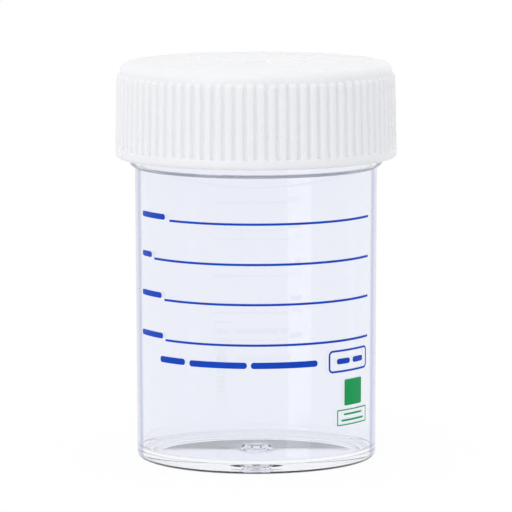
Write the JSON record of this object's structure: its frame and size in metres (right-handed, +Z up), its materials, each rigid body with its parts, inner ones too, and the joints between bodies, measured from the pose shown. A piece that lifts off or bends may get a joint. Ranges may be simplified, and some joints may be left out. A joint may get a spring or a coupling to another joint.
{
  "type": "specimen container",
  "caption": "Clear round plastic specimen container with straight walls, ruled writing lines on its side and a ribbed white screw cap that seals with a foam liner.",
  "frame": {"origin": "centre of the standing ring under the base, on the surface that the container stands on", "axes": "+Z up along the container's axis, and -Y towards the side with the writing lines"},
  "size_m": [0.0472, 0.0472, 0.0667],
  "materials": {
    "clear_polystyrene": "clear glossy polystyrene",
    "white_cap_plastic": "satin white",
    "liner_foam": "matte foam"
  },
  "bodies": {
    "pot": {"container": "clear_polystyrene"},
    "liner": {"cap_liner": "liner_foam"},
    "cap": {"screw_cap": "white_cap_plastic"}
  },
  "joints": [
    {"name": "cap_rise", "type": "slide", "parent": "pot", "child": "liner", "axis": [0, 0, 1], "range_m": [0, 0.0141]},
    {"name": "cap_turn", "type": "hinge", "parent": "liner", "child": "cap", "pos_m": [0, 0, 0.0585], "axis": [0, 0, 1], "range_deg": [0, 1260]}
  ],
  "couplings": [
    {"joint": "cap_rise", "follows": "cap_turn", "m_per_rad": 0.00063662}
  ]
}
